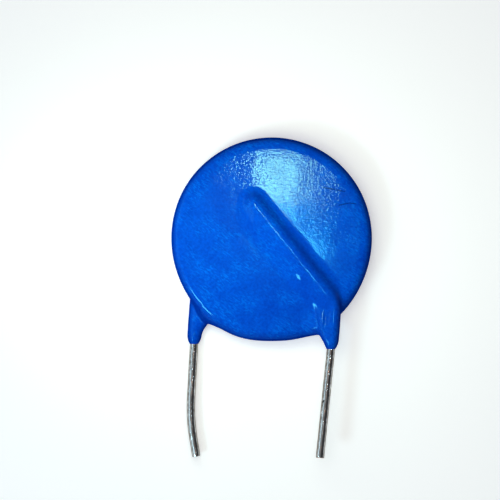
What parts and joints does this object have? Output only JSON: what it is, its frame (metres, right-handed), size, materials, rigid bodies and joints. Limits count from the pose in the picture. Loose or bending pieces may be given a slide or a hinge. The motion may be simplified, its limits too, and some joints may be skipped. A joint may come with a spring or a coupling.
{
  "type": "metal oxide varistor",
  "caption": "Large radial-lead disc varistor: zinc oxide disc under a blue epoxy coat, with two tinned wire leads for a board.",
  "frame": {"origin": "below the middle of the part's length, on the surface that it lies on", "axes": "+Z out of the face with the slanted ridge, +Y from the wire ends to the disc, +X to the right as that face is seen"},
  "size_m": [0.0372, 0.0594, 0.0067],
  "materials": {
    "ceramic": "matte",
    "electrode": "matte",
    "solder": "satin",
    "lead": "satin",
    "coat": "gloss"
  },
  "bodies": {
    "root": {"ceramic_disc": "ceramic", "front_electrode": "electrode", "rear_electrode": "electrode", "front_solder": "solder", "rear_solder": "solder", "front_lead": "lead", "rear_lead": "lead", "epoxy_coating": "coat"}
  },
  "joints": []
}
